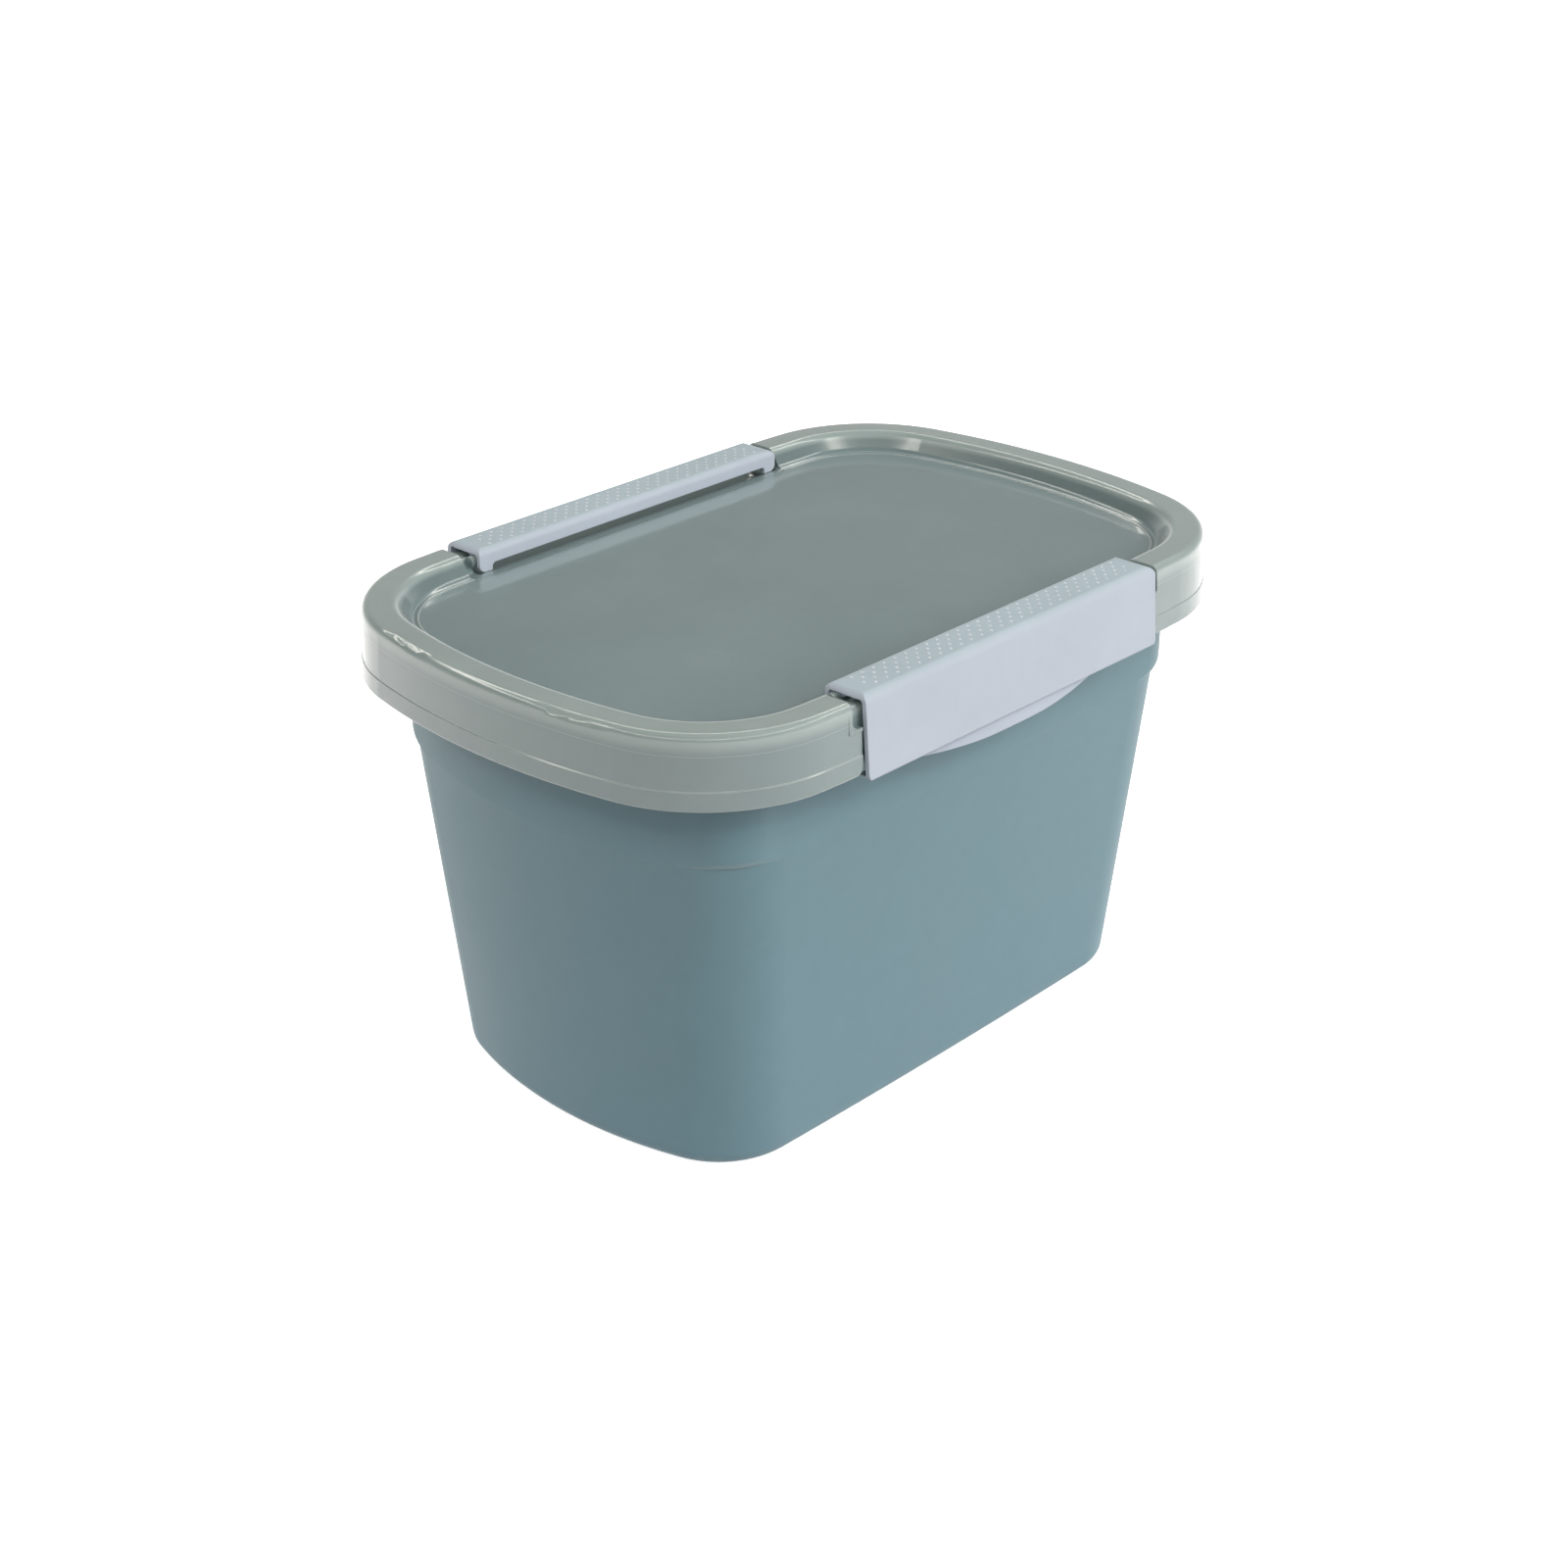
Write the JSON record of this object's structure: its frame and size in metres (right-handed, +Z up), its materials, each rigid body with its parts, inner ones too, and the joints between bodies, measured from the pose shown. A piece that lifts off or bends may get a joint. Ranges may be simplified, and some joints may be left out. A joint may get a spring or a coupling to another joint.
{
  "type": "clip-lid storage tote",
  "caption": "Rounded rectangular storage tote with tapered walls, a lift-off lid with a sunken panel, and two long hinged clips.",
  "frame": {"origin": "on the floor under the middle of the box", "axes": "+X along the box, parallel to the clips; +Y across it towards the back clip; +Z up"},
  "size_m": [0.38, 0.2574, 0.2237],
  "materials": {
    "tub": "satin",
    "lid": "gloss",
    "clip": "satin"
  },
  "bodies": {
    "tub": {"tub": "tub"},
    "lid": {"lid": "lid"},
    "front_clip": {"front_clip": "clip"},
    "back_clip": {"back_clip": "clip"}
  },
  "joints": [
    {"name": "lid_lift", "type": "slide", "parent": "tub", "child": "lid", "axis": [0, 0, 1], "range_m": [0, 0.1]},
    {"name": "front_clip_hinge", "type": "hinge", "parent": "lid", "child": "front_clip", "pos_m": [0, -0.1093, 0.2175], "axis": [-1, 0, 0], "range_deg": [0, 110]},
    {"name": "back_clip_hinge", "type": "hinge", "parent": "lid", "child": "back_clip", "pos_m": [0, 0.1093, 0.2175], "axis": [1, 0, 0], "range_deg": [0, 110]}
  ]
}
